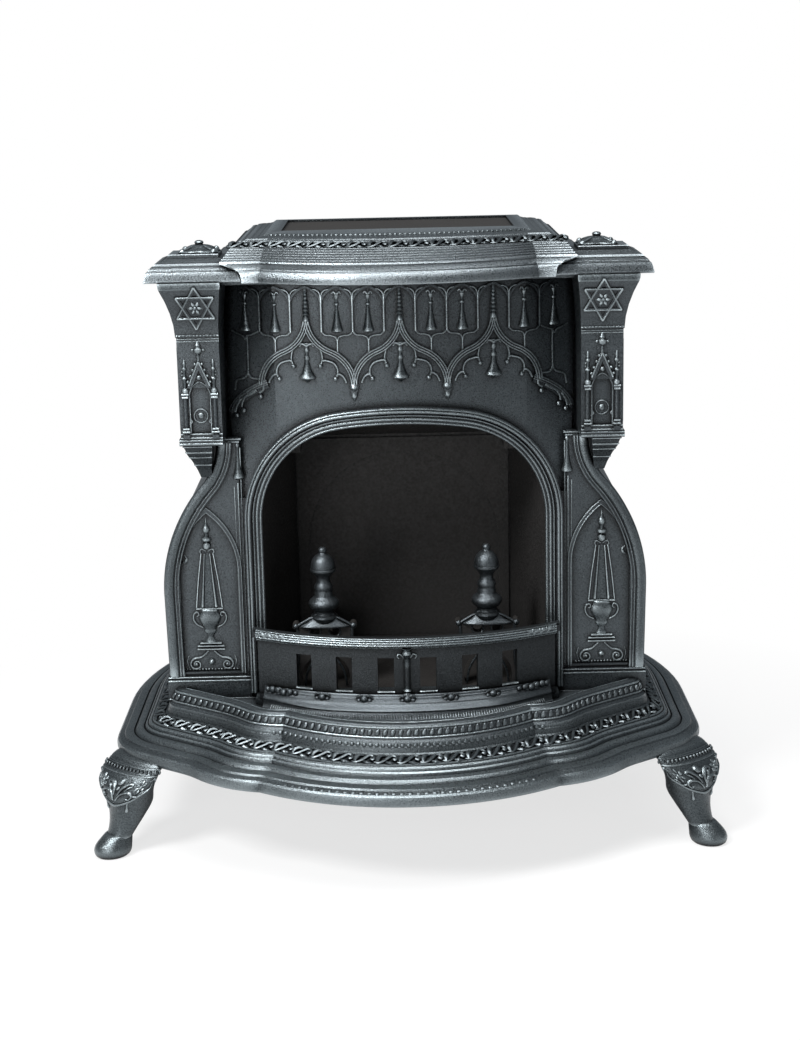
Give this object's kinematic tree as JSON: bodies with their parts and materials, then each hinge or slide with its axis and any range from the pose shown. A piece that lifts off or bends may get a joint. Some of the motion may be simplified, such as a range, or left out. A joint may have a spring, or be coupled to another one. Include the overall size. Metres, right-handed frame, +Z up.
{
  "type": "open front cast iron stove",
  "caption": "Open-front cast iron stove on cabriole legs: arched fire opening, bowed basket front, andirons, moulded mantel and hearth, rear flue with a butterfly damper.",
  "frame": {"origin": "on the floor, under the centre of the stove's overall width and depth", "axes": "+Z up, -Y towards the person in front of the fire, +X to that person's right"},
  "size_m": [0.8048, 0.55, 0.77],
  "materials": {
    "black_iron": "black graphite polish over sand-cast iron, low sheen",
    "fire_iron": "bare cast iron, dull and sooty",
    "steel": "blackened steel"
  },
  "bodies": {
    "stove": {"base_plate": "black_iron", "hearth_tray": "black_iron", "leg_front_left": "black_iron", "leg_front_right": "black_iron", "leg_rear_left": "black_iron", "leg_rear_right": "black_iron", "jamb_left": "black_iron", "jamb_right": "black_iron", "arch_frame": "black_iron", "front_plate": "black_iron", "pilaster_left": "black_iron", "pilaster_right": "black_iron", "corbel_left": "black_iron", "corbel_right": "black_iron", "side_plate_left": "black_iron", "side_plate_right": "black_iron", "back_plate": "black_iron", "mantel": "black_iron", "top_plate": "black_iron", "finial_left": "black_iron", "finial_right": "black_iron", "flue_collar": "black_iron", "firebox_floor": "fire_iron", "cheek_left": "fire_iron", "cheek_right": "fire_iron", "fireback": "fire_iron", "throat_baffle": "fire_iron", "leg_bolts": "steel", "pilaster_bolts": "steel", "tie_rods": "steel", "tie_rod_nuts": "steel", "collar_bolts": "steel"},
    "basket": {"basket_front": "black_iron"},
    "andiron_left": {"andiron_left": "fire_iron"},
    "andiron_right": {"andiron_right": "fire_iron"},
    "damper": {"damper_plate": "fire_iron", "damper_spindle": "steel", "damper_handle": "black_iron"}
  },
  "joints": [
    {"name": "basket_lift", "type": "slide", "parent": "stove", "child": "basket", "axis": [0, 0, 1], "range_m": [0, 0.09]},
    {"name": "andiron_left_lift", "type": "slide", "parent": "stove", "child": "andiron_left", "axis": [0, 0, 1], "range_m": [0, 0.05]},
    {"name": "andiron_right_lift", "type": "slide", "parent": "stove", "child": "andiron_right", "axis": [0, 0, 1], "range_m": [0, 0.05]},
    {"name": "damper_turn", "type": "hinge", "parent": "stove", "child": "damper", "pos_m": [0, 0.1485, 0.612], "axis": [1, 0, 0], "range_deg": [0, 90]}
  ]
}
